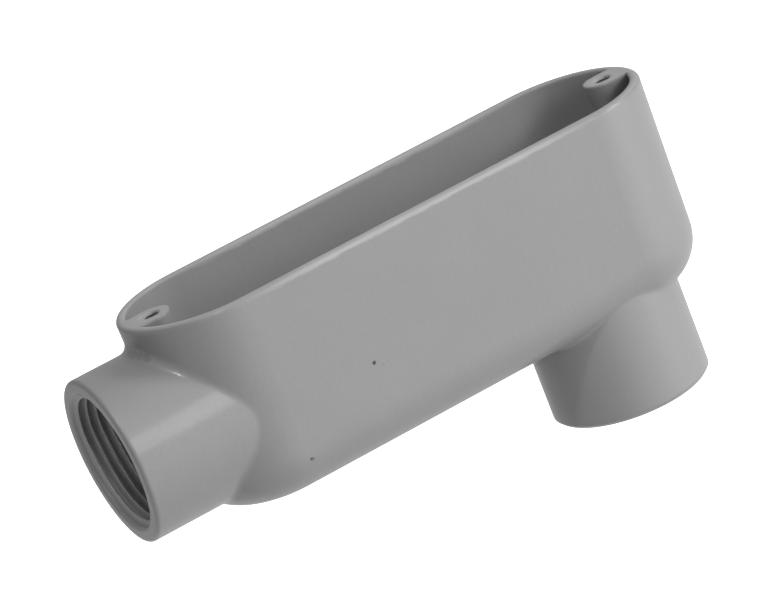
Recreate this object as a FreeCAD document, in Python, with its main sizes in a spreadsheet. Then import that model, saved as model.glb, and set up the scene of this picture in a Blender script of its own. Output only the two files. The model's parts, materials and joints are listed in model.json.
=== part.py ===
"""Conduit body, type LB, trade size 1: one aluminium casting with its cover off.

The long tub opens upwards (+Z). One threaded hub leaves the end towards -X, the other
leaves the floor towards -Z near the +X end. The origin is the centre of the open rim,
which is also the centre between the two cover screws. All sizes are in millimetres.
"""

import FreeCAD
import Part
import os

import Sketcher

NODE = "conduit_body"

# Driving sizes, one per spreadsheet row: alias, value, meaning.
SIZES = [
    ("half_width", 22.0, "half the width of the tub at the rim, and the radius of its round ends"),
    ("centre_run", 93.6, "distance between the centres of the two round ends"),
    ("body_depth", 49.5, "from the rim down to the outside of the floor"),
    ("draft_angle", 1.05, "draft of the outer and inner walls, in degrees"),
    ("side_wall", 2.35, "wall thickness at the rim"),
    ("floor_wall", 2.4, "thickness of the floor"),
    ("bottom_round", 11.9, "outer rounding between walls and floor"),
    ("cavity_round", 7.5, "inner rounding between walls and floor"),
    ("rim_round", 1.0, "rounding of the rim's outer edge"),
    ("rim_break", 0.35, "bevel of the rim's inner edge"),
    ("end_hub_margin", 1.75, "how much narrower than the tub the end hub is, on each side"),
    ("end_hub_rise", 2.95, "from the outside of the floor up to the bottom of the end hub"),
    ("end_hub_reach", 14.7, "how far the end hub stands out past the tub"),
    ("end_hub_blend", 2.2, "fillet where the end hub leaves the tub"),
    ("end_shoulder_set", 0.3, "from the tub's end out to the end hub's bushing shoulder"),
    ("back_hub_margin", 2.6, "how much narrower than the tub the back hub is, on each side"),
    ("back_hub_inset", 28.0, "from the tub's far end to the back hub's axis"),
    ("back_hub_length", 22.0, "from the outside of the floor to the back hub's mouth"),
    ("back_hub_blend", 1.4, "fillet where the back hub leaves the floor"),
    ("back_shoulder_set", 4.5, "from the outside of the floor down to the back hub's bushing shoulder"),
    ("hub_mouth_round", 0.9, "rounding of the end hub's outer mouth edge, and bevel of the back hub's"),
    ("thread_radius", 16.7, "radius of the hub bores, at the root of the pipe thread"),
    ("mouth_chamfer", 0.55, "lead-in chamfer of the hub bores"),
    ("throat_radius", 12.5, "radius of the smooth bushing throat behind each thread"),
    ("throat_round", 1.1, "bevel of the throats' lips, towards the tub and towards the thread"),
    ("lug_radius", 4.6, "radius of a cover-screw lug round its hole"),
    ("lug_draft", 3.6, "draft of a lug's sides, in degrees"),
    ("lug_clearance", 0.3, "from a lug's foot down to the top of the end throat"),
    ("screw_inset", 7.2, "from the tub's end to the screw hole's axis"),
    ("screw_radius", 2.05, "radius of the cover-screw hole, at the root of its thread"),
    ("screw_floor", 4.0, "metal left under the cover-screw hole"),
    ("screw_sink", 0.35, "countersink at the screw hole's mouth"),
    ("pad_margin", 11.5, "from the tub's side at the rim in to the bare raised pad on the floor"),
    ("pad_length", 46.0, "length of the floor pad"),
    ("pad_height", 0.6, "height of the floor pad"),
    ("pad_corner", 3.0, "corner radius of the floor pad"),
    ("pad_gap", 7.0, "clear distance between the floor pad and the back hub's throat"),
]

# Sizes and places worked out from the driving ones, as spreadsheet expressions.
TUB_END = "(Dims.centre_run / 2 + Dims.half_width)"
END_RADIUS = "(Dims.half_width - Dims.end_hub_margin)"
END_DROP = "(Dims.body_depth - Dims.end_hub_rise - %s)" % END_RADIUS
END_MOUTH = "(%s + Dims.end_hub_reach)" % TUB_END
COLLAR = "(%s - %s)" % (END_DROP, END_RADIUS)
BACK_RADIUS = "(Dims.half_width - Dims.back_hub_margin)"
THIN_WALL = "(%s - Dims.thread_radius)" % BACK_RADIUS
BACK_AXIS = "(%s - Dims.back_hub_inset)" % TUB_END
BACK_MOUTH = "(Dims.body_depth + Dims.back_hub_length)"
LUG_HEIGHT = "(%s - Dims.throat_radius - Dims.lug_clearance)" % END_DROP
SCREW_AXIS = "(%s - Dims.screw_inset)" % TUB_END
PAD_HALF = "(Dims.half_width - Dims.pad_margin)"
PAD_CORNER = "min(Dims.pad_corner; %s / 2)" % PAD_HALF

# A fillet takes at most this share of the metal that carries it.
COLLAR_SHARE = 0.4
HUB_WALL_SHARE = 0.34

# How deep in the end wall a lug's root lies, and a drill point's height over its radius.
LUG_ROOT_SHARE = 0.6
DRILL_POINT = 0.6

TINY = 1e-6
HALF_TURN = 3.141592653589793
QUARTER = HALF_TURN / 2


def make_sheet(doc):
    """Put every driving size into a spreadsheet, with its alias and meaning."""
    sheet = doc.addObject("Spreadsheet::Sheet", "Dims")
    for row, (alias, value, meaning) in enumerate(SIZES, start=1):
        sheet.set("A%d" % row, alias)
        sheet.set("B%d" % row, str(value))
        sheet.set("C%d" % row, meaning)
        sheet.setAlias("B%d" % row, alias)
    doc.recompute()
    return sheet


def origin_part(body, role):
    """Return the body's own origin plane or axis with this role."""
    return next(item for item in body.Origin.OriginFeatures if item.Role == role)


def new_sketch(body, name, role, height=None):
    """Attach a sketch to an origin plane, lifted along the plane's normal if asked."""
    sketch = body.newObject("Sketcher::SketchObject", name)
    sketch.AttachmentSupport = [(origin_part(body, role), "")]
    sketch.MapMode = "FlatFace"
    if height:
        sketch.setExpression("AttachmentOffset.Base.z", height)
    return sketch


def bind(sketch, constraint, name, expression):
    """Add a dimension to a sketch and drive it from the spreadsheet."""
    index = sketch.addConstraint(constraint)
    sketch.renameConstraint(index, name)
    sketch.setExpression("Constraints." + name, expression)


def vec(x, y):
    """A point in a sketch's plane."""
    return FreeCAD.Vector(x, y, 0)


def line(sketch, start, end):
    """Add a straight line to a sketch and return its index."""
    return sketch.addGeometry(Part.LineSegment(vec(*start), vec(*end)), False)


def arc(sketch, centre, radius, start, end):
    """Add an arc, from start to end in radians, and return its index."""
    circle = Part.Circle(vec(*centre), FreeCAD.Vector(0, 0, 1), radius)
    return sketch.addGeometry(Part.ArcOfCircle(circle, start, end), False)


def obround(sketch, run, radius):
    """Draw a long shape with two round ends about the sketch's origin."""
    half, r = 40.0, 20.0
    top = line(sketch, (-half, r), (half, r))
    right = arc(sketch, (half, 0), r, -QUARTER, QUARTER)
    low = line(sketch, (half, -r), (-half, -r))
    left = arc(sketch, (-half, 0), r, QUARTER, 3 * QUARTER)
    add = sketch.addConstraint
    add(Sketcher.Constraint("Tangent", top, 2, right, 2))
    add(Sketcher.Constraint("Tangent", right, 1, low, 1))
    add(Sketcher.Constraint("Tangent", low, 2, left, 2))
    add(Sketcher.Constraint("Tangent", left, 1, top, 1))
    add(Sketcher.Constraint("Equal", right, left))
    add(Sketcher.Constraint("PointOnObject", right, 3, -1))
    add(Sketcher.Constraint("Symmetric", left, 3, right, 3, -1, 1))
    bind(sketch, Sketcher.Constraint("DistanceX", left, 3, right, 3, 2 * half), "run", run)
    bind(sketch, Sketcher.Constraint("Radius", right, r), "radius", radius)


def disc(sketch, radius, across=None, along=None):
    """Draw a circle at a driven place: across on the first axis, along on the second."""
    circle = Part.Circle(vec(5, -5), FreeCAD.Vector(0, 0, 1), 9)
    ring = sketch.addGeometry(circle, False)
    bind(sketch, Sketcher.Constraint("Radius", ring, 9), "radius", radius)
    for kind, name, place, axis in (("DistanceX", "across", across, -2), ("DistanceY", "along", along, -1)):
        if place is None:
            sketch.addConstraint(Sketcher.Constraint("PointOnObject", ring, 3, axis))
        else:
            bind(sketch, Sketcher.Constraint(kind, -1, 1, ring, 3, 5), name, place)


def edge_names(shape, test):
    """Names of the edges of a shape that pass a test."""
    return ["Edge%d" % (i + 1) for i, edge in enumerate(shape.Edges) if test(edge)]


def at_height(edge, value, axis="z"):
    """True where the whole edge lies at one height on an axis."""
    box = edge.BoundBox
    low, high = getattr(box, axis.upper() + "Min"), getattr(box, axis.upper() + "Max")
    return abs(low - value) < 1e-4 and abs(high - value) < 1e-4


def round_edges(body, name, base, names, radius):
    """Fillet named edges of a feature."""
    fillet = body.newObject("PartDesign::Fillet", name)
    fillet.Base = (base, names)
    fillet.setExpression("Radius", radius)
    body.Document.recompute()
    return fillet


def bevel_edges(body, name, base, names, size):
    """Chamfer named edges of a feature."""
    bevel = body.newObject("PartDesign::Chamfer", name)
    bevel.Base = (base, names)
    bevel.setExpression("Size", size)
    body.Document.recompute()
    return bevel


def make_shell(body):
    """The tub's outside: a drafted block with round ends and a well rounded floor."""
    outline = new_sketch(body, "RimOutline", "XY_Plane")
    obround(outline, "Dims.centre_run", "Dims.half_width")
    block = body.newObject("PartDesign::Pad", "TubBlock")
    block.Profile = outline
    block.Reversed = True
    block.setExpression("Length", "Dims.body_depth")
    block.setExpression("TaperAngle", "-Dims.draft_angle")
    body.Document.recompute()
    floor = -block.Length.Value
    names = edge_names(block.Shape, lambda edge: at_height(edge, floor))
    return round_edges(body, "BottomRound", block, names, "Dims.bottom_round")


def make_hubs(body):
    """The two round hubs, each run into the tub, with their root and mouth rounding."""
    doc = body.Document
    end_disc = new_sketch(body, "EndHubDisc", "YZ_Plane", "-" + END_MOUTH)
    disc(end_disc, END_RADIUS, along="-" + END_DROP)
    end_hub = body.newObject("PartDesign::Pad", "EndHub")
    end_hub.Profile = end_disc
    end_hub.setExpression("Length", "Dims.end_hub_reach + Dims.half_width")
    doc.recompute()

    back_disc = new_sketch(body, "BackHubDisc", "XY_Plane", "-" + BACK_MOUTH)
    disc(back_disc, BACK_RADIUS, across=BACK_AXIS)
    back_hub = body.newObject("PartDesign::Pad", "BackHub")
    back_hub.Profile = back_disc
    back_hub.setExpression("Length", "Dims.back_hub_length + Dims.bottom_round")
    doc.recompute()

    end_mouth, back_mouth = end_disc.Placement.Base.x, back_disc.Placement.Base.z
    names = root_edges(back_hub.Shape, end_mouth, "x")
    radius = "min(Dims.end_hub_blend; %s * %s)" % (COLLAR, COLLAR_SHARE)
    blend = round_edges(body, "EndHubBlend", back_hub, names, radius)
    names = root_edges(blend.Shape, back_mouth, "z")
    blend = round_edges(body, "BackHubBlend", blend, names, "Dims.back_hub_blend")
    size = "min(Dims.hub_mouth_round; %s * %s)" % (THIN_WALL, HUB_WALL_SHARE)
    names = edge_names(blend.Shape, lambda edge: at_height(edge, back_mouth, "z"))
    bevel = bevel_edges(body, "BackMouthBevel", blend, names, size)
    names = edge_names(bevel.Shape, lambda edge: at_height(edge, end_mouth, "x"))
    return round_edges(body, "EndMouthRound", bevel, names, size)


def root_edges(shape, mouth, axis):
    """Edges where the hub with its mouth at this height meets the tub."""
    names = []
    for face in shape.Faces:
        if face.Surface.TypeId != "Part::GeomCylinder":
            continue
        if not any(at_height(edge, mouth, axis) for edge in face.Edges):
            continue
        for edge in face.Edges:
            if at_height(edge, mouth, axis) or edge.Curve.TypeId == "Part::GeomLine":
                continue
            names += edge_names(shape, lambda other, edge=edge: other.isSame(edge))
    return sorted(set(names))


def make_cavity(body):
    """The wiring space: a drafted core with a rounded floor, cut out of the casting."""
    doc = body.Document
    core = doc.addObject("PartDesign::Body", "WiringCore")
    outline = new_sketch(core, "CavityOutline", "XY_Plane")
    obround(outline, "Dims.centre_run", "Dims.half_width - Dims.side_wall")
    block = core.newObject("PartDesign::Pad", "CoreBlock")
    block.Profile = outline
    block.Reversed = True
    block.setExpression("Length", "Dims.body_depth - Dims.floor_wall")
    block.setExpression("TaperAngle", "-Dims.draft_angle")
    doc.recompute()
    floor = -block.Length.Value
    names = edge_names(block.Shape, lambda edge: at_height(edge, floor))
    round_edges(core, "CavityRound", block, names, "Dims.cavity_round")

    cut = body.newObject("PartDesign::Boolean", "WiringSpace")
    cut.Type = "Cut"
    cut.setObjects([core])
    doc.recompute()
    return cut


def make_lugs(body):
    """The two cover-screw lugs at the rim's ends, each with a blind hole."""
    doc = body.Document
    outline = new_sketch(body, "LugOutline", "XY_Plane")
    lug_slot(outline)
    lug = body.newObject("PartDesign::Pad", "Lug")
    lug.Profile = outline
    lug.Reversed = True
    lug.setExpression("Length", LUG_HEIGHT)
    lug.setExpression("TaperAngle", "-Dims.lug_draft")
    doc.recompute()

    section = new_sketch(body, "ScrewSection", "XZ_Plane")
    hole_section(section)
    hole = body.newObject("PartDesign::Groove", "ScrewHole")
    hole.Profile = section
    hole.ReferenceAxis = (section, ["Edge1"])
    hole.Angle = 360
    doc.recompute()

    pair = body.newObject("PartDesign::Mirrored", "LugPair")
    pair.Originals = [lug, hole]
    pair.MirrorPlane = (origin_part(body, "YZ_Plane"), [""])
    body.Tip = pair
    doc.recompute()
    return pair


def lug_slot(sketch):
    """Draw one lug at the end-hub end: a round nose whose root lies inside the end wall."""
    nose_x, root_x, r = -60.0, -66.0, 4.0
    top = line(sketch, (root_x, r), (nose_x, r))
    nose = arc(sketch, (nose_x, 0), r, -QUARTER, QUARTER)
    low = line(sketch, (nose_x, -r), (root_x, -r))
    root = line(sketch, (root_x, -r), (root_x, r))
    add = sketch.addConstraint
    add(Sketcher.Constraint("Tangent", top, 2, nose, 2))
    add(Sketcher.Constraint("Tangent", nose, 1, low, 1))
    add(Sketcher.Constraint("Coincident", low, 2, root, 1))
    add(Sketcher.Constraint("Coincident", root, 2, top, 1))
    add(Sketcher.Constraint("Vertical", root))
    add(Sketcher.Constraint("Horizontal", top))
    add(Sketcher.Constraint("Horizontal", low))
    add(Sketcher.Constraint("PointOnObject", nose, 3, -1))
    bind(sketch, Sketcher.Constraint("Radius", nose, r), "radius", "Dims.lug_radius")
    bind(sketch, Sketcher.Constraint("DistanceX", nose, 3, -1, 1, -nose_x), "reach", SCREW_AXIS)
    in_wall = "%s - Dims.side_wall * %s" % (TUB_END, LUG_ROOT_SHARE)
    bind(sketch, Sketcher.Constraint("DistanceX", low, 2, -1, 1, -root_x), "root", in_wall)


def polygon(sketch, points):
    """Draw a closed outline of straight lines and return the index of each."""
    ids = [line(sketch, points[i - 1], points[i]) for i in range(len(points))]
    for i, now in enumerate(ids):
        sketch.addConstraint(Sketcher.Constraint("Coincident", ids[i - 1], 2, now, 1))
    return ids


def hole_section(sketch):
    """Half section of a screw hole: countersink, bore and drill point."""
    axis, r, sink, deep, tip = -61.0, 1.7, 0.4, -9.0, -10.0
    points = [
        (axis, 0),
        (axis + r + sink, 0),
        (axis + r, -sink),
        (axis + r, deep),
        (axis, tip),
    ]
    centre, mouth, cone, wall, point = polygon(sketch, points)
    add = sketch.addConstraint
    add(Sketcher.Constraint("PointOnObject", mouth, 1, -1))
    add(Sketcher.Constraint("Horizontal", mouth))
    add(Sketcher.Constraint("Vertical", centre))
    add(Sketcher.Constraint("Vertical", wall))
    bind(sketch, Sketcher.Constraint("DistanceX", mouth, 1, -1, 1, -axis), "axis", SCREW_AXIS)
    bind(sketch, Sketcher.Constraint("DistanceX", centre, 2, wall, 1, r), "bore", "Dims.screw_radius")
    bind(sketch, Sketcher.Constraint("DistanceX", cone, 2, cone, 1, sink), "sink", "Dims.screw_sink")
    bind(sketch, Sketcher.Constraint("DistanceY", cone, 2, cone, 1, sink), "sink_depth", "Dims.screw_sink")
    depth = LUG_HEIGHT + " - Dims.screw_floor"
    bind(sketch, Sketcher.Constraint("DistanceY", wall, 2, mouth, 1, -deep), "deep", depth)
    tip_height = "Dims.screw_radius * %s" % DRILL_POINT
    bind(sketch, Sketcher.Constraint("DistanceY", point, 2, wall, 2, 1), "tip", tip_height)


def round_rim(body, base):
    """Round the rim's outer edge, then bevel its inner edge lightly."""
    sheet = body.Document.Dims

    def is_outer(edge):
        """True where the edge runs along the outside of the tub."""
        middle = edge.valueAt((edge.FirstParameter + edge.LastParameter) / 2)
        beyond = max(abs(middle.x) - sheet.centre_run / 2, 0)
        away = (beyond ** 2 + middle.y ** 2) ** 0.5
        return abs(away - sheet.half_width) < sheet.side_wall / 2

    names = edge_names(base.Shape, lambda edge: at_height(edge, 0) and is_outer(edge))
    outer = round_edges(body, "RimRound", base, names, "Dims.rim_round")
    names = edge_names(outer.Shape, lambda edge: at_height(edge, 0) and not is_outer(edge))
    return bevel_edges(body, "RimBreak", outer, names, "Dims.rim_break")


def hub_section(sketch, depth, reach):
    """Half section of a hub's bore, drawn from its mouth along the first sketch axis.

    The sketch's origin lies on the hub's axis in the plane of the mouth. The section
    holds the lead-in chamfer, the thread's bore, the bevelled bushing shoulder and the throat.
    """
    r, c, d, t, bevel, end = 16.0, 0.5, 14.0, 12.0, 1.0, 24.0
    points = [
        (0, 0),
        (0, r + c),
        (c, r),
        (d, r),
        (d, t + bevel),
        (d + bevel, t),
        (end, t),
        (end, 0),
    ]
    axis, mouth, chamfer, bore, shoulder, lip, throat, back = polygon(sketch, points)
    add = sketch.addConstraint
    add(Sketcher.Constraint("Coincident", mouth, 1, -1, 1))
    for upright in (mouth, shoulder, back):
        add(Sketcher.Constraint("Vertical", upright))
    for level in (bore, throat, axis):
        add(Sketcher.Constraint("Horizontal", level))
    bind(sketch, Sketcher.Constraint("DistanceY", -1, 1, bore, 2, r), "bore", "Dims.thread_radius")
    lead = "min(Dims.mouth_chamfer; %s * %s)" % (THIN_WALL, HUB_WALL_SHARE)
    bind(sketch, Sketcher.Constraint("DistanceX", chamfer, 1, chamfer, 2, c), "lead", lead)
    bind(sketch, Sketcher.Constraint("DistanceY", chamfer, 2, chamfer, 1, c), "flare", lead)
    bind(sketch, Sketcher.Constraint("DistanceX", -1, 1, bore, 2, d), "depth", depth)
    bind(sketch, Sketcher.Constraint("DistanceX", lip, 1, lip, 2, bevel), "lip_run", "Dims.throat_round")
    bind(sketch, Sketcher.Constraint("DistanceY", lip, 2, lip, 1, bevel), "lip_rise", "Dims.throat_round")
    bind(sketch, Sketcher.Constraint("DistanceY", -1, 1, throat, 2, t), "throat", "Dims.throat_radius")
    bind(sketch, Sketcher.Constraint("DistanceX", -1, 1, throat, 2, end), "reach", reach)


def bore_hub(body, name, section):
    """Revolve a hub's bore section about its own axis and cut it out."""
    bore = body.newObject("PartDesign::Groove", name)
    bore.Profile = section
    bore.ReferenceAxis = (section, ["Edge1"])
    bore.Angle = 360
    body.Document.recompute()
    return bore


def make_bores(body):
    """Cut both hub bores and bevel the lips of their throats towards the wiring space."""
    end = new_sketch(body, "EndBoreSection", "XZ_Plane")
    end.setExpression("AttachmentOffset.Base.x", "-" + END_MOUTH)
    end.setExpression("AttachmentOffset.Base.y", "-" + END_DROP)
    depth = "Dims.end_hub_reach - Dims.end_shoulder_set"
    hub_section(end, depth, "Dims.end_hub_reach + Dims.half_width")
    bore_hub(body, "EndBore", end)

    back = new_sketch(body, "BackBoreSection", "XZ_Plane")
    upright = FreeCAD.Rotation(FreeCAD.Vector(0, 0, 1), 90)
    back.AttachmentOffset = FreeCAD.Placement(FreeCAD.Vector(), upright)
    back.setExpression("AttachmentOffset.Base.x", BACK_AXIS)
    back.setExpression("AttachmentOffset.Base.y", "-" + BACK_MOUTH)
    depth = "Dims.back_hub_length - Dims.back_shoulder_set"
    hub_section(back, depth, "Dims.back_hub_length + Dims.floor_wall + Dims.cavity_round")
    bores = bore_hub(body, "BackBore", back)
    names = inner_lips(bores.Shape, body.Document.Dims)
    return bevel_edges(body, "ThroatLips", bores, names, "Dims.throat_round")


def inner_lips(shape, sheet):
    """Edges where the two throats open into the wiring space."""
    names = set()
    for face in shape.Faces:
        surface = face.Surface
        if surface.TypeId != "Part::GeomCylinder" or abs(surface.Radius - sheet.throat_radius) > TINY:
            continue
        along = "x" if abs(surface.Axis.x) > 0.5 else "z"
        box = face.BoundBox
        outer_end = box.XMin if along == "x" else box.ZMin
        for edge in face.Edges:
            if edge.Curve.TypeId == "Part::GeomLine" or at_height(edge, outer_end, along):
                continue
            names.update(edge_names(shape, lambda other, edge=edge: other.isSame(edge)))
    return sorted(names)


def make_floor_pad(body):
    """A low bare pad on the inside of the floor, between the two hubs."""
    sketch = new_sketch(body, "FloorPadOutline", "XY_Plane", "Dims.floor_wall - Dims.body_depth")
    x0, x1, y, r = -20.0, 20.0, 10.0, 3.0
    top = line(sketch, (x0 + r, y), (x1 - r, y))
    corner_a = arc(sketch, (x1 - r, y - r), r, 0, QUARTER)
    right = line(sketch, (x1, y - r), (x1, -y + r))
    corner_b = arc(sketch, (x1 - r, -y + r), r, -QUARTER, 0)
    low = line(sketch, (x1 - r, -y), (x0 + r, -y))
    corner_c = arc(sketch, (x0 + r, -y + r), r, 2 * QUARTER, 3 * QUARTER)
    left = line(sketch, (x0, -y + r), (x0, y - r))
    corner_d = arc(sketch, (x0 + r, y - r), r, QUARTER, 2 * QUARTER)
    add = sketch.addConstraint
    add(Sketcher.Constraint("Tangent", top, 2, corner_a, 2))
    add(Sketcher.Constraint("Tangent", corner_a, 1, right, 1))
    add(Sketcher.Constraint("Tangent", right, 2, corner_b, 2))
    add(Sketcher.Constraint("Tangent", corner_b, 1, low, 1))
    add(Sketcher.Constraint("Tangent", low, 2, corner_c, 2))
    add(Sketcher.Constraint("Tangent", corner_c, 1, left, 1))
    add(Sketcher.Constraint("Tangent", left, 2, corner_d, 2))
    add(Sketcher.Constraint("Tangent", corner_d, 1, top, 1))
    for side in (top, low):
        add(Sketcher.Constraint("Horizontal", side))
    for side in (right, left):
        add(Sketcher.Constraint("Vertical", side))
    for corner in (corner_b, corner_c, corner_d):
        add(Sketcher.Constraint("Equal", corner_a, corner))
    bind(sketch, Sketcher.Constraint("Radius", corner_a, r), "corner", PAD_CORNER)
    bind(sketch, Sketcher.Constraint("DistanceY", -1, 1, top, 1, y), "upper", PAD_HALF)
    bind(sketch, Sketcher.Constraint("DistanceY", low, 1, -1, 1, y), "lower", PAD_HALF)
    bind(sketch, Sketcher.Constraint("DistanceX", left, 1, right, 1, x1 - x0), "length", "Dims.pad_length")
    near = BACK_AXIS + " - Dims.throat_radius - Dims.pad_gap"
    bind(sketch, Sketcher.Constraint("DistanceX", -1, 1, right, 1, x1), "near", near)
    pad = body.newObject("PartDesign::Pad", "FloorPad")
    pad.Profile = sketch
    pad.setExpression("Length", "Dims.pad_height")
    body.Document.recompute()
    return pad


def check(doc, body):
    """Stop if any object failed or the casting isn't one sound solid."""
    for item in doc.Objects:
        failed = [state for state in item.State if state in ("Invalid", "Error")]
        if failed:
            raise RuntimeError("%s is %s" % (item.Label, ", ".join(failed)))
    shape = body.Shape
    if shape.isNull() or not shape.isValid():
        raise RuntimeError("%s has no valid shape" % body.Label)
    if len(shape.Solids) != 1:
        raise RuntimeError("%s has %d solids instead of one" % (body.Label, len(shape.Solids)))


def main():
    """Build the casting, check it and write it to parts/."""
    doc = FreeCAD.newDocument("ConduitBody")
    make_sheet(doc)
    body = doc.addObject("PartDesign::Body", "Casting")
    body.Label = NODE
    make_shell(body)
    make_hubs(body)
    cavity = make_cavity(body)
    round_rim(body, cavity)
    make_bores(body)
    make_floor_pad(body)
    make_lugs(body)
    doc.recompute()
    check(doc, body)

    os.makedirs("parts", exist_ok=True)
    body.Shape.exportStep("parts/%s.step" % NODE)
    box = body.Shape.BoundBox
    size = (box.XLength, box.YLength, box.ZLength, body.Shape.Volume)
    print("%s: %.1f x %.1f x %.1f mm, %.0f mm3" % ((NODE,) + size))


if __name__ == "__main__":
    main()
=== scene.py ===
"""Looks of a long conduit body, a grey enamelled casting with its cover off.

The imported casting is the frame. The script dresses it in its enamel, cuts the look of tapped
threads into its two hubs and its two cover-screw holes, and sets up the studio round it.
Every length is in metres, in the casting's own frame: +Z out of the open rim, +X along the
tub away from the end hub.
"""

import json
import logging
import math
from dataclasses import dataclass, field
from enum import Enum

import bmesh
import bpy
from mathutils import Matrix, Vector


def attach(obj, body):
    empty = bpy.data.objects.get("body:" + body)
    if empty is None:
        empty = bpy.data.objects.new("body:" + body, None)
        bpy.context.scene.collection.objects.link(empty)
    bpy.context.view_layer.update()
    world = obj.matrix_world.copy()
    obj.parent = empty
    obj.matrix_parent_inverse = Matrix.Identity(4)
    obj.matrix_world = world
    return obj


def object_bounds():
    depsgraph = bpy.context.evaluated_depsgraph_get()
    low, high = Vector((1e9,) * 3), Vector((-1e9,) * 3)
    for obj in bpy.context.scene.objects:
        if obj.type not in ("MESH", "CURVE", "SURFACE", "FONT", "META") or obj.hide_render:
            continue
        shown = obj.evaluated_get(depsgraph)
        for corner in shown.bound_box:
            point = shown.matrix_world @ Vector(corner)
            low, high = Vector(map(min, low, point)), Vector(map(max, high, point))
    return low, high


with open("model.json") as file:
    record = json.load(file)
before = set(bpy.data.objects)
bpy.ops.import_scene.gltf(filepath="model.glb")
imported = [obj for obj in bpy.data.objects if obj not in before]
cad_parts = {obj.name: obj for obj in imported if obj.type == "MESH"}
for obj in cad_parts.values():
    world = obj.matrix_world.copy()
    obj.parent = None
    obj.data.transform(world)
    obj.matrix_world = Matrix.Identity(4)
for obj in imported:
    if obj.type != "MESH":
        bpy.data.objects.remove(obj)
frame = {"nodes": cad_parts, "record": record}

CAD_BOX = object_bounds()
CASTING = "conduit_body"
MM = 0.001
INCH = 0.0254
NOISE_MIDDLE = 0.5
BEVEL_SAMPLES = 6
OCCLUSION_SAMPLES = 8
WHITE = (1.0, 1.0, 1.0, 1.0)

log = logging.getLogger("conduit_body_looks")


class Tap(Enum):
    """The two threads of this fitting, by their turns to the inch."""

    PIPE = 11.5
    COVER_SCREW = 32.0

    @property
    def pitch(self) -> float:
        """Length of one turn."""
        return INCH / self.value


class Wiring:
    """Adds and links the nodes of one node tree."""

    def __init__(self, tree: bpy.types.NodeTree) -> None:
        """Keep the tree that the nodes go into.

        Args:
            tree: A material's, a world's or a group's node tree.
        """
        self.tree = tree

    def node(self, kind: str, **settings: object) -> bpy.types.Node:
        """Add a node.

        Args:
            kind: The node's type, such as "ShaderNodeMath".
            **settings: Properties of the node and their values.

        Returns:
            The new node.
        """
        made = self.tree.nodes.new(kind)
        for name, value in settings.items():
            setattr(made, name, value)
        return made

    def join(self, source: bpy.types.NodeSocket, target: bpy.types.NodeSocket) -> None:
        """Link an output to an input."""
        self.tree.links.new(source, target)

    def feed(self, value: object, target: bpy.types.NodeSocket) -> None:
        """Give an input its value.

        Args:
            value: Another node's output, or a plain value.
            target: The input that takes it.
        """
        if isinstance(value, bpy.types.NodeSocket):
            self.join(value, target)
        else:
            target.default_value = value

    def math(self, operation: str, first: object, second: object = 0.0, clamp: bool = False) -> object:
        """Work out a number.

        Args:
            operation: A Math node's operation.
            first: Its first input, an output of another node or a number.
            second: Its second input.
            clamp: Whether the result is held between 0 and 1.

        Returns:
            The Math node's output.
        """
        made = self.node("ShaderNodeMath", operation=operation, use_clamp=clamp)
        self.feed(first, made.inputs[0])
        self.feed(second, made.inputs[1])
        return made.outputs[0]

    def vector(self, operation: str, first: object, second: object, output: str = "Vector") -> object:
        """Work out a vector, or a number from two vectors.

        Args:
            operation: A Vector Math node's operation.
            first: Its first input.
            second: Its second input.
            output: The name of the output that is wanted.

        Returns:
            That output.
        """
        made = self.node("ShaderNodeVectorMath", operation=operation)
        self.feed(first, made.inputs[0])
        self.feed(second, made.inputs[1])
        return made.outputs[output]

    def noise(self, place: object, scale: object, detail: float = 2.0, roughness: float = 0.5) -> object:
        """Sample a noise.

        Args:
            place: Where the noise is read.
            scale: Its waves to the metre.
            detail: How many finer waves lie on it.
            roughness: How strong the finer waves are.

        Returns:
            The noise, from 0 to 1.
        """
        made = self.node("ShaderNodeTexNoise", noise_dimensions="3D")
        self.join(place, made.inputs["Vector"])
        self.feed(scale, made.inputs["Scale"])
        made.inputs["Detail"].default_value = detail
        made.inputs["Roughness"].default_value = roughness
        return made.outputs["Fac"]

    def span(self, value: object, low: object, high: object) -> object:
        """Stretch a value so that low becomes 0 and high becomes 1, with soft ends.

        Args:
            value: The value to stretch.
            low: What becomes 0.
            high: What becomes 1.

        Returns:
            The stretched value, from 0 to 1.
        """
        made = self.node("ShaderNodeMapRange", interpolation_type="SMOOTHSTEP")
        self.feed(value, made.inputs["Value"])
        self.feed(low, made.inputs["From Min"])
        self.feed(high, made.inputs["From Max"])
        return made.outputs["Result"]

    def blend(self, share: object, under: object, over: object, mode: str = "MIX") -> object:
        """Blend two colours.

        Args:
            share: How much of the second colour shows.
            under: The first colour.
            over: The second colour.
            mode: A Mix node's blend type.

        Returns:
            The blended colour.
        """
        made = self.node("ShaderNodeMix", data_type="RGBA", blend_type=mode)
        sockets = [s for s in made.inputs if s.enabled]
        self.feed(share, sockets[0])
        self.feed(under, sockets[1])
        self.feed(over, sockets[2])
        return next(s for s in made.outputs if s.enabled)


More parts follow.
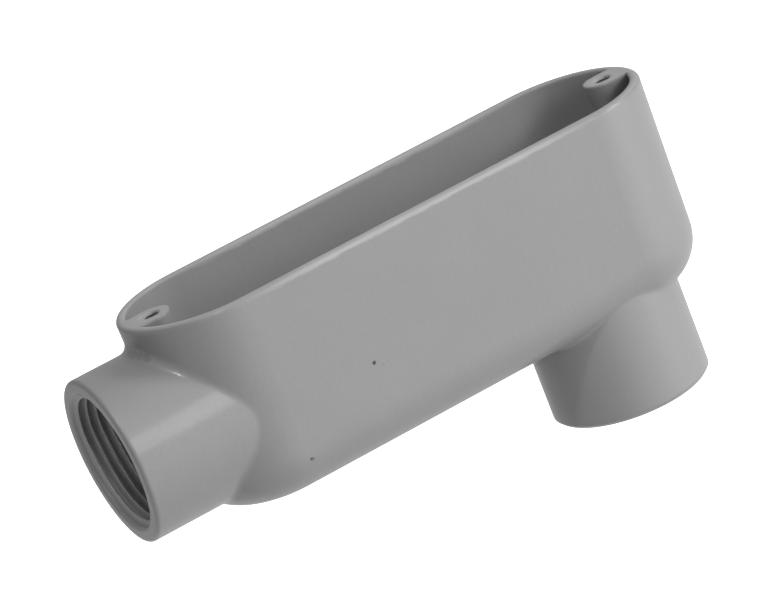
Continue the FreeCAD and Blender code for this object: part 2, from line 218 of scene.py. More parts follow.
class Effect:
    """A shared effect: a shader node group with named inputs and outputs, made once."""

    title = "effect"
    takes: tuple = ()
    gives: tuple = ()

    @classmethod
    def group(cls) -> bpy.types.NodeTree:
        """The effect's node group.

        Returns:
            The group, which the first call makes.
        """
        known = bpy.data.node_groups.get(cls.title)
        if known:
            return known
        tree = bpy.data.node_groups.new(cls.title, "ShaderNodeTree")
        for name, kind, value in cls.takes:
            socket = tree.interface.new_socket(name, in_out="INPUT", socket_type=kind)
            if value is not None:
                socket.default_value = value
        for name, kind in cls.gives:
            tree.interface.new_socket(name, in_out="OUTPUT", socket_type=kind)
        wiring = Wiring(tree)
        inputs = wiring.node("NodeGroupInput").outputs
        outputs = wiring.node("NodeGroupOutput").inputs
        cls.draw(wiring, inputs, outputs)
        return tree

    @classmethod
    def draw(cls, wiring: Wiring, inputs: object, outputs: object) -> None:
        """Fill the group.

        Args:
            wiring: Adds the group's nodes.
            inputs: The group's inputs, as the outputs of its input node.
            outputs: The group's outputs, as the inputs of its output node.
        """
        raise NotImplementedError

    @classmethod
    def place(cls, wiring: Wiring, **values: object) -> bpy.types.Node:
        """Place the effect in a material.

        Args:
            wiring: Adds the material's nodes.
            **values: The group's inputs, with a low line for each space in a name.

        Returns:
            The group's node.
        """
        made = wiring.node("ShaderNodeGroup", node_tree=cls.group())
        for name, value in values.items():
            wiring.feed(value, made.inputs[name.replace("_", " ")])
        return made


NUMBER = "NodeSocketFloat"
PLACE = "NodeSocketVector"
COLOUR = "NodeSocketColor"


class CastSkin(Effect):
    """The surface of enamel on a sand-cast skin: slow waves, orange peel and fine grit."""

    title = "cast_skin"
    takes = (
        ("Place", PLACE, None),
        ("Waves", NUMBER, 70.0),
        ("Wave Height", NUMBER, 0.5),
        ("Peel", NUMBER, 900.0),
        ("Peel Height", NUMBER, 0.08),
        ("Grit", NUMBER, 3200.0),
        ("Grit Height", NUMBER, 0.03),
    )
    gives = (("Height", NUMBER),)

    @classmethod
    def draw(cls, wiring: Wiring, inputs: object, outputs: object) -> None:
        """Sum the three layers, each at its own height.

        Args:
            wiring: Adds the group's nodes.
            inputs: The group's inputs.
            outputs: The group's outputs.
        """
        place = inputs["Place"]
        waves = wiring.noise(place, inputs["Waves"], detail=1.0)
        peel = wiring.noise(place, inputs["Peel"], detail=1.5, roughness=0.45)
        grit = wiring.noise(place, inputs["Grit"], detail=2.0, roughness=0.6)
        tall = wiring.math("MULTIPLY", waves, inputs["Wave Height"])
        mid = wiring.math("MULTIPLY", peel, inputs["Peel Height"])
        low = wiring.math("MULTIPLY", grit, inputs["Grit Height"])
        total = wiring.math("ADD", wiring.math("ADD", tall, mid), low)
        wiring.join(total, outputs["Height"])


class ToneDrift(Effect):
    """Slow clouds and a fine grain in a coat's tone."""

    title = "tone_drift"
    takes = (
        ("Place", PLACE, None),
        ("Colour", COLOUR, (0.3, 0.3, 0.3, 1.0)),
        ("Clouds", NUMBER, 35.0),
        ("Cloud Share", NUMBER, 0.08),
        ("Grain", NUMBER, 1500.0),
        ("Grain Share", NUMBER, 0.05),
    )
    gives = (("Colour", COLOUR),)

    @classmethod
    def draw(cls, wiring: Wiring, inputs: object, outputs: object) -> None:
        """Brighten and darken the colour round its own tone.

        Args:
            wiring: Adds the group's nodes.
            inputs: The group's inputs.
            outputs: The group's outputs.
        """
        clouds = wiring.noise(inputs["Place"], inputs["Clouds"], detail=3.0)
        grain = wiring.noise(inputs["Place"], inputs["Grain"], detail=2.0, roughness=0.6)
        clouds = wiring.math("SUBTRACT", clouds, NOISE_MIDDLE)
        grain = wiring.math("SUBTRACT", grain, NOISE_MIDDLE)
        slow = wiring.math("MULTIPLY", clouds, inputs["Cloud Share"])
        fine = wiring.math("MULTIPLY", grain, inputs["Grain Share"])
        gain = wiring.math("ADD", wiring.math("ADD", slow, fine), 1.0)
        toned = wiring.vector("SCALE", inputs["Colour"], (0.0, 0.0, 0.0))
        wiring.join(gain, toned.node.inputs["Scale"])
        wiring.join(toned, outputs["Colour"])


class EdgeWear(Effect):
    """A mask of outside edges, broken up by a noise."""

    title = "edge_wear"
    takes = (
        ("Place", PLACE, None),
        ("Reach", NUMBER, 0.0006),
        ("Start", NUMBER, 0.04),
        ("Full", NUMBER, 0.4),
        ("Breakup", NUMBER, 500.0),
    )
    gives = (("Mask", NUMBER),)
    GAPS = (0.38, 0.62)

    @classmethod
    def draw(cls, wiring: Wiring, inputs: object, outputs: object) -> None:
        """Compare the true normal with a rounded one.

        Args:
            wiring: Adds the group's nodes.
            inputs: The group's inputs.
            outputs: The group's outputs.
        """
        rounded = wiring.node("ShaderNodeBevel", samples=BEVEL_SAMPLES)
        wiring.join(inputs["Reach"], rounded.inputs["Radius"])
        plain = wiring.node("ShaderNodeNewGeometry").outputs["Normal"]
        along = wiring.vector("DOT_PRODUCT", rounded.outputs["Normal"], plain, "Value")
        turned = wiring.math("SUBTRACT", 1.0, along)
        edge = wiring.span(turned, inputs["Start"], inputs["Full"])
        patches = wiring.noise(inputs["Place"], inputs["Breakup"], detail=3.0)
        patches = wiring.span(patches, *cls.GAPS)
        wiring.join(wiring.math("MULTIPLY", edge, patches, clamp=True), outputs["Mask"])


class CornerShade(Effect):
    """A mask of painted shade in corners and hollows, darkest where nearby surfaces close in, broken up
    by a noise.
    """

    title = "corner_shade"
    takes = (
        ("Place", PLACE, None),
        ("Reach", NUMBER, 0.006),
        ("Start", NUMBER, 0.21),
        ("Full", NUMBER, 0.76),
        ("Breakup", NUMBER, 160.0),
    )
    gives = (("Mask", NUMBER),)
    PATCH_GAIN = 0.7
    PATCH_FLOOR = 0.5

    @classmethod
    def draw(cls, wiring: Wiring, inputs: object, outputs: object) -> None:
        """Take what stands near, and break it up.

        Args:
            wiring: Adds the group's nodes.
            inputs: The group's inputs.
            outputs: The group's outputs.
        """
        near = wiring.node("ShaderNodeAmbientOcclusion", samples=OCCLUSION_SAMPLES)
        wiring.join(inputs["Reach"], near.inputs["Distance"])
        shut = wiring.math("SUBTRACT", 1.0, near.outputs["AO"])
        corner = wiring.span(shut, inputs["Start"], inputs["Full"])
        patches = wiring.noise(inputs["Place"], inputs["Breakup"], detail=3.0)
        uneven = wiring.math("ADD", wiring.math("MULTIPLY", patches, cls.PATCH_GAIN), cls.PATCH_FLOOR)
        wiring.join(wiring.math("MULTIPLY", corner, uneven, clamp=True), outputs["Mask"])


class Specks(Effect):
    """A mask of rare small specks: dust and pin-holes in the coat."""

    title = "specks"
    takes = (
        ("Place", PLACE, None),
        ("Spacing", NUMBER, 130.0),
        ("Size", NUMBER, 0.035),
        ("Share", NUMBER, 0.2),
    )
    gives = (("Mask", NUMBER),)

    @classmethod
    def draw(cls, wiring: Wiring, inputs: object, outputs: object) -> None:
        """Keep the middles of some cells.

        Args:
            wiring: Adds the group's nodes.
            inputs: The group's inputs.
            outputs: The group's outputs.
        """
        cells = wiring.node("ShaderNodeTexVoronoi", feature="F1")
        wiring.join(inputs["Place"], cells.inputs["Vector"])
        wiring.join(inputs["Spacing"], cells.inputs["Scale"])
        half = wiring.math("MULTIPLY", inputs["Size"], 0.5)
        spot = wiring.math("SUBTRACT", 1.0, wiring.span(cells.outputs["Distance"], half, inputs["Size"]))
        split = wiring.node("ShaderNodeSeparateColor")
        wiring.join(cells.outputs["Color"], split.inputs["Color"])
        chosen = wiring.math("LESS_THAN", split.outputs["Red"], inputs["Share"])
        wiring.join(wiring.math("MULTIPLY", spot, chosen), outputs["Mask"])


class RimRubAndHighlight(Effect):
    """A mask of the rim: a painted highlight along its long outer edges, and a lighter face that is
    partly rubbed by covers and partly a painted highlight.
    """

    title = "rim_rub_and_highlight"
    takes = (
        ("Place", PLACE, None),
        ("Rim Height", NUMBER, 0.0),
        ("Depth", NUMBER, 0.0016),
        ("Half Run", NUMBER, 0.026),
        ("Fade", NUMBER, 0.024),
        ("Top Share", NUMBER, 0.65),
    )
    gives = (("Mask", NUMBER),)
    RAGGED = 220.0
    CORE = 0.55
    FACE = (0.0001, 0.0005)

    @classmethod
    def draw(cls, wiring: Wiring, inputs: object, outputs: object) -> None:
        """Fade down from the rim, and out towards the round ends.

        Args:
            wiring: Adds the group's nodes.
            inputs: The group's inputs.
            outputs: The group's outputs.
        """
        parts = wiring.node("ShaderNodeSeparateXYZ")
        wiring.join(inputs["Place"], parts.inputs["Vector"])
        below = wiring.math("SUBTRACT", inputs["Rim Height"], parts.outputs["Z"])
        ragged = wiring.noise(inputs["Place"], cls.RAGGED, detail=3.0)
        reach = wiring.math("MULTIPLY", inputs["Depth"], wiring.math("ADD", ragged, NOISE_MIDDLE))
        inner = wiring.math("MULTIPLY", reach, cls.CORE)
        near = wiring.math("SUBTRACT", 1.0, wiring.span(below, inner, reach))
        away = wiring.math("ABSOLUTE", parts.outputs["X"])
        end = wiring.math("ADD", inputs["Half Run"], inputs["Fade"])
        along = wiring.math("SUBTRACT", 1.0, wiring.span(away, inputs["Half Run"], end))
        side = wiring.math("MULTIPLY", near, along)
        flat = wiring.math("SUBTRACT", 1.0, wiring.span(below, *cls.FACE))
        top = wiring.math("MULTIPLY", flat, inputs["Top Share"])
        wiring.join(wiring.math("MAXIMUM", side, top, clamp=True), outputs["Mask"])


class RoundSpot(Effect):
    """A mask for one ragged round spot at a place of its own."""

    title = "round_spot"
    takes = (
        ("Place", PLACE, None),
        ("Middle", PLACE, None),
        ("Radius", NUMBER, 0.0005),
    )
    gives = (("Mask", NUMBER),)
    RAGGED = 1800.0
    CORE = 0.45

    @classmethod
    def draw(cls, wiring: Wiring, inputs: object, outputs: object) -> None:
        """Fade out from the middle, with a ragged border.

        Args:
            wiring: Adds the group's nodes.
            inputs: The group's inputs.
            outputs: The group's outputs.
        """
        away = wiring.vector("DISTANCE", inputs["Place"], inputs["Middle"], "Value")
        ragged = wiring.noise(inputs["Place"], cls.RAGGED, detail=1.0)
        reach = wiring.math("MULTIPLY", inputs["Radius"], wiring.math("ADD", ragged, NOISE_MIDDLE))
        inner = wiring.math("MULTIPLY", reach, cls.CORE)
        spot = wiring.math("SUBTRACT", 1.0, wiring.span(away, inner, reach))
        wiring.join(spot, outputs["Mask"])


def new_material(name: str) -> tuple:
    """Make an empty material with its shader and its frame coordinates.

    Args:
        name: The material's name.

    Returns:
        The material, its Wiring, its Principled BSDF and the place output.
    """
    material = bpy.data.materials.new(name)
    material.use_nodes = True
    material.node_tree.nodes.clear()
    wiring = Wiring(material.node_tree)
    shader = wiring.node("ShaderNodeBsdfPrincipled")
    out = wiring.node("ShaderNodeOutputMaterial")
    wiring.join(shader.outputs["BSDF"], out.inputs["Surface"])
    place = wiring.node("ShaderNodeTexCoord").outputs["Object"]
    return material, wiring, shader, place


@dataclass(frozen=True)
class Enamel:
    """Satin grey enamel, sprayed and baked on the casting."""

    name: str = "satin_grey_enamel"
    colour: tuple = (0.311, 0.311, 0.311, 1.0)
    # Lighter tone for real edge wear, and for the rim and the screw-lug rings, where it is partly rub and
    # partly painted highlight.
    rub_and_highlight: tuple = (0.46, 0.46, 0.46, 1.0)
    # Dark colour for painted shade in corners and in the hub fillet, and for real dust specks.
    shade_and_dust: tuple = (0.10, 0.10, 0.098, 1.0)
    pinhole: tuple = (0.05, 0.05, 0.05, 1.0)
    roughness: float = 0.4
    rough_waves: float = 90.0
    rough_spread: float = 0.14
    dull_roughness: float = 0.3
    specular: float = 0.5
    coat: float = 0.25
    coat_roughness: float = 0.15
    wear_reach: float = 0.7 * MM
    speck_share: float = 0.35
    hole_depth: float = 0.5
    rubbed_share: float = 0.35
    # How strongly the rim's painted highlight and rub show.
    rim_rub_and_highlight_share: float = 0.85
    # How strongly and how far the painted corner shade reaches.
    painted_shade_share: float = 0.95
    painted_shade_reach: float = 0.018
    edge_round: float = 0.0011
    bump: float = 0.0005
    pinholes: tuple = ((-0.0460, -0.0213, -0.0411), (-0.0242, -0.0215, -0.0276))
    pinhole_radii: tuple = (0.00085, 0.0006)
    # Dark spots of painted shade in the fillet where the end hub meets the tub.
    fillet_shade_spots: tuple = (
        (-0.0697, -0.0006, -0.0057),
        (-0.0695, -0.0027, -0.0058),
        (-0.0690, -0.0047, -0.0061),
        (-0.0683, -0.0066, -0.0066),
    )
    fillet_shade_radius: float = 1.5 * MM
    fillet_shade_share: float = 0.3
    # Middles, radius and strength of a lighter ring round each cover-screw hole, partly rubbed and partly
    # a painted highlight.
    screws: tuple = ()
    ring_rub_and_highlight_radius: float = 4.4 * MM
    ring_rub_and_highlight_share: float = 0.5

    def material(self) -> bpy.types.Material:
        """Make the enamel.

        Returns:
            The material.
        """
        material, wiring, shader, place = new_material(self.name)
        drift = ToneDrift.place(wiring, Place=place, Colour=self.colour)
        wear = EdgeWear.place(wiring, Place=place, Reach=self.wear_reach)
        # Painted highlight along the rim's long edges, with rub and painted highlight on its face.
        rim = RimRubAndHighlight.place(wiring, Place=place)
        # Painted shade in corners and hollows.
        shade_and_dust = CornerShade.place(wiring, Place=place, Reach=self.painted_shade_reach)
        specks = Specks.place(wiring, Place=place)
        holes = self.spots(wiring, place, self.pinholes, self.pinhole_radii)
        # Painted shade in the end hub's fillet.
        fillet_shade = self.spots(wiring, place, self.fillet_shade_spots, [self.fillet_shade_radius] * len(self.fillet_shade_spots))
        # Lighter rings round the screw holes: rub and painted highlight.
        ring_rub_and_highlight = self.spots(wiring, place, self.screws, [self.ring_rub_and_highlight_radius] * len(self.screws))

        rub_and_highlight = wiring.math("MULTIPLY", wear.outputs["Mask"], self.rubbed_share)
        # Painted shade: darker in corners and hollows, from the occlusion mask.
        painted_shade = wiring.math("MULTIPLY", shade_and_dust.outputs["Mask"], self.painted_shade_share)
        dots = wiring.math("MULTIPLY", specks.outputs["Mask"], self.speck_share)
        rim_rub_and_highlight = wiring.math("MULTIPLY", rim.outputs["Mask"], self.rim_rub_and_highlight_share)
        ring_rub_and_highlight_amount = wiring.math("MULTIPLY", ring_rub_and_highlight, self.ring_rub_and_highlight_share)
        # Painted shade spots in the hub fillet.
        fillet_shaded = wiring.math("MULTIPLY", fillet_shade, self.fillet_shade_share)
        colour = drift.outputs["Colour"]
        # Real edge wear, and rub with painted highlight on the rim and round the screw holes, lighten
        # towards one colour.
        for mask in (rub_and_highlight, rim_rub_and_highlight, ring_rub_and_highlight_amount):
            colour = wiring.blend(mask, colour, self.rub_and_highlight)
        # Painted shade in corners and in the hub fillet, and real dust specks, darken towards one colour.
        for mask in (painted_shade, fillet_shaded, dots):
            colour = wiring.blend(mask, colour, self.shade_and_dust)
        colour = wiring.blend(holes, colour, self.pinhole)
        wiring.join(colour, shader.inputs["Base Color"])

        patches = wiring.noise(place, self.rough_waves, detail=3.0)
        patches = wiring.math("SUBTRACT", patches, NOISE_MIDDLE)
        spread = wiring.math("MULTIPLY", patches, self.rough_spread)
        rough = wiring.math("ADD", spread, self.roughness)
        rough = wiring.math("ADD", rough, wiring.math("MULTIPLY", painted_shade, self.dull_roughness))
        wiring.join(rough, shader.inputs["Roughness"])

        skin = CastSkin.place(wiring, Place=place)
        sunk = wiring.math("MULTIPLY", holes, self.hole_depth)
        height = wiring.math("SUBTRACT", skin.outputs["Height"], sunk)
        bump = wiring.node("ShaderNodeBump")
        bump.inputs["Strength"].default_value = 1.0
        bump.inputs["Distance"].default_value = self.bump
        softened = wiring.node("ShaderNodeBevel", samples=BEVEL_SAMPLES)
        softened.inputs["Radius"].default_value = self.edge_round
        wiring.join(softened.outputs["Normal"], bump.inputs["Normal"])
        wiring.join(height, bump.inputs["Height"])
        wiring.join(bump.outputs["Normal"], shader.inputs["Normal"])

        shader.inputs["Specular IOR Level"].default_value = self.specular
        shader.inputs["Coat Weight"].default_value = self.coat
        shader.inputs["Coat Roughness"].default_value = self.coat_roughness
        return material

    def spots(self, wiring: Wiring, place: object, middles: tuple, radii: tuple) -> object:
        """Mask some round spots of the casting.

        Args:
            wiring: Adds the material's nodes.
            place: The frame coordinates.
            middles: The middle of each spot.
            radii: The radius of each spot.

        Returns:
            The mask of all of them.
        """
        total = 0.0
        for middle, radius in zip(middles, radii):
            spot = RoundSpot.place(wiring, Place=place, Middle=middle, Radius=radius)
            total = wiring.math("MAXIMUM", spot.outputs["Mask"], total)
        return total


@dataclass(frozen=True)
class TappedMetal:
    """Enamelled thread flanks whose crests the tap and the chasing have left bright."""

    name: str = "tapped_thread"
    flank: tuple = (0.37, 0.37, 0.37, 1.0)
    crest: tuple = (0.55, 0.55, 0.545, 1.0)
    # Dark colour for painted shade in the thread roots.
    shade_and_dust: tuple = (0.07, 0.07, 0.07, 1.0)
    roughness: float = 0.4
    grain_share: float = 0.12
    # Reach, breakup and strength of the painted shade in the roots.
    painted_shade_reach: float = 1.2 * MM
    painted_shade_waves: float = 400.0
    painted_shade_share: float = 0.35
    crest_waves: float = 700.0
    crest_gaps: tuple = (0.35, 0.6)
    crest_start: float = 0.72
    crest_share: float = 0.2
    crest_metal: float = 0.8
    crest_polish: float = 0.2
    skin_waves: float = 300.0
    skin_wave_height: float = 0.1
    skin_peel: float = 1400.0
    bump: float = 0.3 * MM

    def material(self) -> bpy.types.Material:
        """Make the finish.

        Returns:
            The material.
        """
        material, wiring, shader, place = new_material(self.name)
        rise = wiring.node("ShaderNodeAttribute", attribute_name=InnerThread.RISE).outputs["Fac"]
        drift = ToneDrift.place(wiring, Place=place, Colour=self.flank, Grain_Share=self.grain_share)
        # Painted shade in the roots between the turns.
        shade_and_dust = CornerShade.place(wiring, Place=place, Reach=self.painted_shade_reach, Breakup=self.painted_shade_waves)
        patches = wiring.span(wiring.noise(place, self.crest_waves, detail=3.0), *self.crest_gaps)
        bright = wiring.math("MULTIPLY", wiring.span(rise, self.crest_start, 1.0), patches)
        bright = wiring.math("MULTIPLY", bright, self.crest_share)
        colour = wiring.blend(bright, drift.outputs["Colour"], self.crest)
        painted_shade = wiring.math("MULTIPLY", shade_and_dust.outputs["Mask"], self.painted_shade_share)
        colour = wiring.blend(painted_shade, colour, self.shade_and_dust)
        wiring.join(colour, shader.inputs["Base Color"])
        wiring.join(wiring.math("MULTIPLY", bright, self.crest_metal), shader.inputs["Metallic"])
        polish = wiring.math("MULTIPLY", bright, self.crest_polish)
        wiring.join(wiring.math("SUBTRACT", self.roughness, polish), shader.inputs["Roughness"])
        skin = CastSkin.place(wiring, Place=place, Waves=self.skin_waves,
                              Wave_Height=self.skin_wave_height, Peel=self.skin_peel)
        bump = wiring.node("ShaderNodeBump")
        bump.inputs["Distance"].default_value = self.bump
        wiring.join(skin.outputs["Height"], bump.inputs["Height"])
        wiring.join(bump.outputs["Normal"], shader.inputs["Normal"])
        return material


@dataclass
class InnerThread:
    """The ridge of a tapped thread, wound along the wall of one of the casting's bores."""

    name: str
    tap: Tap
    mouth: Vector
    axis: Vector
    root_radius: float
    height: float
    length: float
    turn: float = 0.0
    steps: int = 144
    embed: float = 0.15 * MM
    lead: float = 2.2
    fade_turns: float = 1.5
    piece: bpy.types.Object = field(default=None, init=False)

    RISE = "rise"
    FLANK = math.tan(math.radians(30))
    CREST_FLAT = 0.045
    CREST_BREAK = 0.08
    CREST_SHARE = 0.6
    SHOULDER_SHARE = 0.9
    WIDEST = 0.485
    END_SHARE = 0.55
    SHARP = math.radians(50)

    def profile(self) -> list:
        """One cut through the ridge.

        Returns:
            Pairs of a place along the axis and a height over the root, from one side to the other.
        """
        pitch = self.tap.pitch
        flat = self.CREST_FLAT * pitch
        half = min(flat + self.height * self.FLANK, self.WIDEST * pitch)
        shy = self.CREST_BREAK * self.height
        low = (half, -self.embed)
        foot = (half, 0.0)
        middle = (flat + 0.5 * self.height * self.FLANK, 0.5 * self.height)
        shoulder = (flat + shy * self.SHOULDER_SHARE, self.height - shy)
        crest = (flat * self.CREST_SHARE, self.height)
        side = [low, foot, middle, shoulder, crest]
        return [(-x, y) for x, y in side] + [(x, y) for x, y in reversed(side)]

    def allowed(self, depth: float) -> float:
        """How high the ridge may stand, between its lead-in and the place where the tap ended.

        Args:
            depth: How deep in the bore, from its mouth.

        Returns:
            The height over the root.
        """
        fade = self.fade_turns * self.tap.pitch
        entering = self.lead * depth
        leaving = self.height * (self.length - depth) / fade
        return max(min(entering, leaving, self.height), -self.embed)

    def build(self) -> bpy.types.Object:
        """Wind the ridge into a closed mesh.

        Returns:
            The new object.
        """
        pitch = self.tap.pitch
        cut = self.profile()
        margin = abs(cut[0][0]) * self.END_SHARE
        rings = int(self.steps * (self.length - 2 * margin) / pitch)
        across = self.axis.orthogonal().normalized()
        aside = self.axis.cross(across).normalized()
        mesh = bmesh.new()
        rise = mesh.verts.layers.float.new(self.RISE)
        loops = []
        for ring in range(rings + 1):
            angle = self.turn + math.tau * ring / self.steps
            outward = across * math.cos(angle) + aside * math.sin(angle)
            start = margin + pitch * ring / self.steps
            loop = []
            for along, up in cut:
                depth = start + along
                up = min(up, self.allowed(depth))
                at = self.mouth - self.axis * depth + outward * (self.root_radius - up)
                vert = mesh.verts.new(at)
                vert[rise] = max(up, 0.0) / self.height
                loop.append(vert)
            loops.append(loop)
        for one, two in zip(loops, loops[1:]):
            for i in range(len(cut)):
                j = (i + 1) % len(cut)
                mesh.faces.new((one[i], one[j], two[j], two[i]))
        mesh.faces.new(loops[0])
        mesh.faces.new(reversed(loops[-1]))
        bmesh.ops.recalc_face_normals(mesh, faces=mesh.faces)
        data = bpy.data.meshes.new(self.name)
        mesh.to_mesh(data)
        mesh.free()
        data.shade_smooth()
        data.set_sharp_from_angle(angle=self.SHARP)
        self.piece = bpy.data.objects.new(self.name, data)
        bpy.context.scene.collection.objects.link(self.piece)
        return self.piece

    def dress(self, material: bpy.types.Material) -> None:
        """Give the ridge its finish and fix it to the casting.

        Args:
            material: The tapped finish.
        """
        self.piece.data.materials.append(material)
        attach(self.piece, "root")
        log.info("%s: %d faces, %.1f turns", self.name, len(self.piece.data.polygons),
                 self.length / self.tap.pitch)


@dataclass
class Casting:
    """The casting itself, as it comes from the frame."""

    node: bpy.types.Object
    finish: Enamel = Enamel()

    def dress(self) -> None:
        """Enamel every slot of the casting."""
        material = self.finish.material()
        for slot in self.node.material_slots:
            slot.link = "OBJECT"
            slot.material = material
        log.info("%s: enamelled, %d faces", self.node.name, len(self.node.data.polygons))


@dataclass
class Threads:
    """All the tapped threads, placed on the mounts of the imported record."""

    mounts: dict
    finish: TappedMetal = TappedMetal()
    pipe_height: float = 1.15 * MM
    screw_height: float = 0.36 * MM
    screw_sink: float = 0.35 * MM
    screw_length: float = 8.4 * MM
    screw_steps: int = 40
    screw_embed: float = 0.05 * MM
    end_turn: float = 2.2
    pieces: list = field(default_factory=list)

    def screw_mouths(self) -> tuple:
        """The middles of the two cover-screw holes' mouths, the hub end's first."""
        pattern = self.mounts["cover_screws"]
        x, y, z = pattern["pos_m"]
        half = pattern["dims"]["spacing_x_mm"] * MM / 2
        return tuple((x + side * half, y, z - self.screw_sink) for side in (-1, 1))

    def build(self) -> None:
        """Make one thread for each hub and each cover-screw hole."""
        for name, turn in (("end_hub", self.end_turn), ("back_hub", 0.0)):
            mount = self.mounts[name]
            self.pieces.append(InnerThread(
                name=name + "_thread",
                tap=Tap.PIPE,
                mouth=Vector(mount["pos_m"]),
                axis=Vector(mount["axis"]),
                root_radius=mount["dims"]["r_mm"] * MM,
                height=self.pipe_height,
                length=mount["dims"]["length_mm"] * MM,
                turn=turn,
            ))
        pattern = self.mounts["cover_screws"]
        for name, mouth in zip(("hub_end", "far_end"), self.screw_mouths()):
            self.pieces.append(InnerThread(
                name=name + "_screw_thread",
                tap=Tap.COVER_SCREW,
                mouth=Vector(mouth),
                axis=Vector(pattern["axis"]),
                root_radius=pattern["dims"]["hole_r_mm"] * MM,
                height=self.screw_height,
                length=self.screw_length,
                steps=self.screw_steps,
                embed=self.screw_embed,
            ))
        for thread in self.pieces:
            thread.build()

    def dress(self) -> None:
        """Give every thread its finish."""
        material = self.finish.material()
        for thread in self.pieces:
            thread.dress(material)


@dataclass(frozen=True)
class Lamp:
    """One soft lamp, aimed at the casting."""

    name: str
    azimuth: float
    elevation: float
    distance: float
    size: float
    power: float
    glare: bool = True

    def build(self, target: Vector) -> None:
        """Hang the lamp.

        Args:
            target: What it is aimed at.
        """
        turn = math.radians(self.azimuth)
        rise = math.radians(self.elevation)
        out = Vector((math.sin(turn) * math.cos(rise), -math.cos(turn) * math.cos(rise), math.sin(rise)))
        data = bpy.data.lights.new(self.name, "AREA")
        data.shape = "DISK"
        data.size = self.size
        data.energy = self.power
        lamp = bpy.data.objects.new(self.name, data)
        lamp.location = target + out * self.distance
        lamp.rotation_mode = "QUATERNION"
        lamp.rotation_quaternion = (-out).to_track_quat("-Z", "Y")
        lamp.visible_glossy = self.glare
        bpy.context.scene.collection.objects.link(lamp)
        log.info("%s: %.1f W", self.name, self.power)


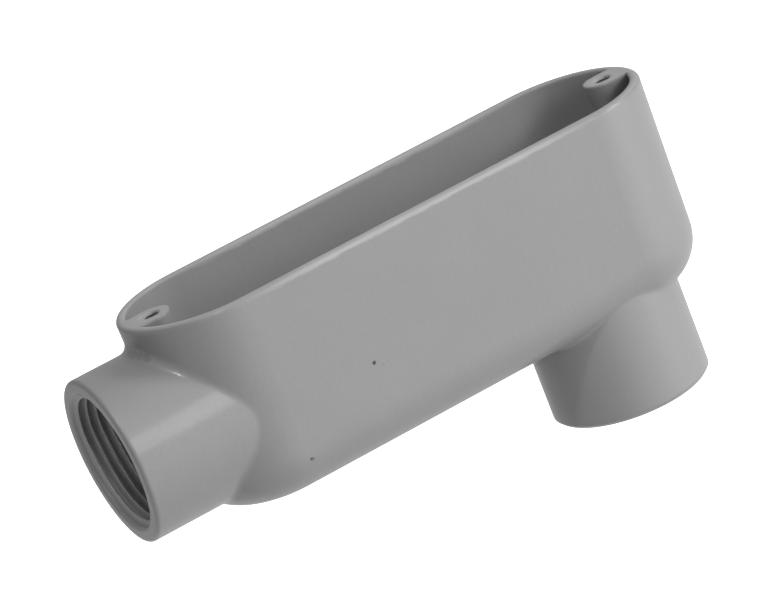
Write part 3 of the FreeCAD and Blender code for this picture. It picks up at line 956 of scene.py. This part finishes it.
@dataclass
class Studio:
    """The pale floor, the soft lamps, the white surround and the camera."""

    target: Vector = Vector((-0.0096, -0.0035, -0.0211))
    floor_drop: float = 0.25
    floor_size: float = 8.0
    floor_colour: tuple = (0.8, 0.8, 0.8, 1.0)
    floor_glow: float = 0.92
    floor_roughness: float = 0.9
    floor_clouds: float = 2.0
    floor_grain: float = 200.0
    floor_drift: float = 0.02
    ambient: float = 0.18
    mirrored: float = 0.3
    sensor: float = 36.0
    lens: float = 210.94
    clip: tuple = (0.05, 30.0)
    distance: float = 1.0242
    azimuth: float = 20.25
    elevation: float = 17.34
    roll: float = 21.7
    lamps: tuple = (
        Lamp("key", azimuth=60.0, elevation=25.0, distance=1.4, size=0.35, power=7.0),
        Lamp("front", azimuth=20.0, elevation=20.0, distance=1.4, size=0.6, power=4.3),
        Lamp("low", azimuth=50.0, elevation=0.0, distance=1.4, size=0.6, power=4.0),
        Lamp("under", azimuth=15.0, elevation=-15.0, distance=1.4, size=0.6, power=1.0),
        Lamp("left", azimuth=-35.0, elevation=45.0, distance=1.4, size=0.6, power=0.7),
        Lamp("spark", azimuth=-20.0, elevation=60.0, distance=1.4, size=0.1, power=4.0),
        Lamp("back", azimuth=150.0, elevation=20.0, distance=1.4, size=0.8, power=6.0, glare=False),
    )

    def build(self) -> None:
        """Set up the whole studio."""
        self.floor()
        self.surround()
        for lamp in self.lamps:
            lamp.build(self.target)
        self.camera()

    def white_to_camera(self, wiring: Wiring) -> object:
        """Tell the rays that see the surround from those that carry its light.

        Args:
            wiring: Adds the nodes.

        Returns:
            1 for camera and transmission rays, less for glossy rays, and 0 for the others.
        """
        path = wiring.node("ShaderNodeLightPath").outputs
        mirrored = wiring.math("MULTIPLY", path["Is Glossy Ray"], self.mirrored)
        seen = wiring.math("MAXIMUM", path["Is Camera Ray"], mirrored)
        return wiring.math("MAXIMUM", seen, path["Is Transmission Ray"])

    def floor(self) -> None:
        """Lay the floor well below the casting."""
        low = CAD_BOX[0].z - self.floor_drop
        data = bpy.data.meshes.new("floor")
        half = self.floor_size / 2
        corners = [(-half, -half, low), (half, -half, low), (half, half, low), (-half, half, low)]
        data.from_pydata(corners, [], [(0, 1, 2, 3)])
        floor = bpy.data.objects.new("floor", data)
        bpy.context.scene.collection.objects.link(floor)
        material, wiring, shader, place = new_material("pale_floor")
        shade = ToneDrift.place(wiring, Place=place, Colour=self.floor_colour, Clouds=self.floor_clouds,
                                Cloud_Share=self.floor_drift, Grain=self.floor_grain,
                                Grain_Share=self.floor_drift)
        wiring.join(shade.outputs["Colour"], shader.inputs["Base Color"])
        shader.inputs["Roughness"].default_value = self.floor_roughness
        shader.inputs["Emission Color"].default_value = WHITE
        glow = wiring.math("MULTIPLY", self.white_to_camera(wiring), self.floor_glow)
        wiring.join(glow, shader.inputs["Emission Strength"])
        data.materials.append(material)

    def surround(self) -> None:
        """Make the world white to look at and plain to be lit by."""
        world = bpy.data.worlds.new("surround")
        bpy.context.scene.world = world
        world.use_nodes = True
        world.node_tree.nodes.clear()
        wiring = Wiring(world.node_tree)
        seen = self.white_to_camera(wiring)
        rest = wiring.math("SUBTRACT", 1.0, seen)
        strength = wiring.math("ADD", seen, wiring.math("MULTIPLY", rest, self.ambient))
        sky = wiring.node("ShaderNodeBackground")
        sky.inputs["Color"].default_value = WHITE
        wiring.join(strength, sky.inputs["Strength"])
        out = wiring.node("ShaderNodeOutputWorld")
        wiring.join(sky.outputs["Background"], out.inputs["Surface"])

    def camera(self) -> None:
        """Set the camera, tilted about its own line of sight."""
        data = bpy.data.cameras.new("camera")
        data.sensor_width = self.sensor
        data.lens = self.lens
        data.clip_start, data.clip_end = self.clip
        camera = bpy.data.objects.new("camera", data)
        bpy.context.scene.collection.objects.link(camera)
        turn = math.radians(self.azimuth)
        dip = math.radians(self.elevation)
        forward = Vector((math.sin(turn) * math.cos(dip), math.cos(turn) * math.cos(dip), -math.sin(dip)))
        level = forward.cross(Vector((0.0, 0.0, 1.0))).normalized()
        upward = level.cross(forward)
        lean = math.radians(self.roll)
        right = level * math.cos(lean) - upward * math.sin(lean)
        up = upward * math.cos(lean) + level * math.sin(lean)
        axes = Matrix((right, up, -forward)).transposed()
        camera.matrix_world = Matrix.Translation(self.target - forward * self.distance) @ axes.to_4x4()
        bpy.context.scene.camera = camera


def main() -> None:
    """Dress the casting, thread its bores, and set up the studio."""
    logging.basicConfig(level=logging.INFO, format="%(name)s: %(message)s")
    bpy.context.scene.view_settings.view_transform = "Standard"
    mounts = {mount["name"]: mount for mount in frame["record"]["mounts"]}
    threads = Threads(mounts=mounts)
    casting = Casting(node=frame["nodes"][CASTING], finish=Enamel(screws=threads.screw_mouths()))
    casting.dress()
    threads.build()
    threads.dress()
    Studio().build()


if __name__ == "__main__":
    main()
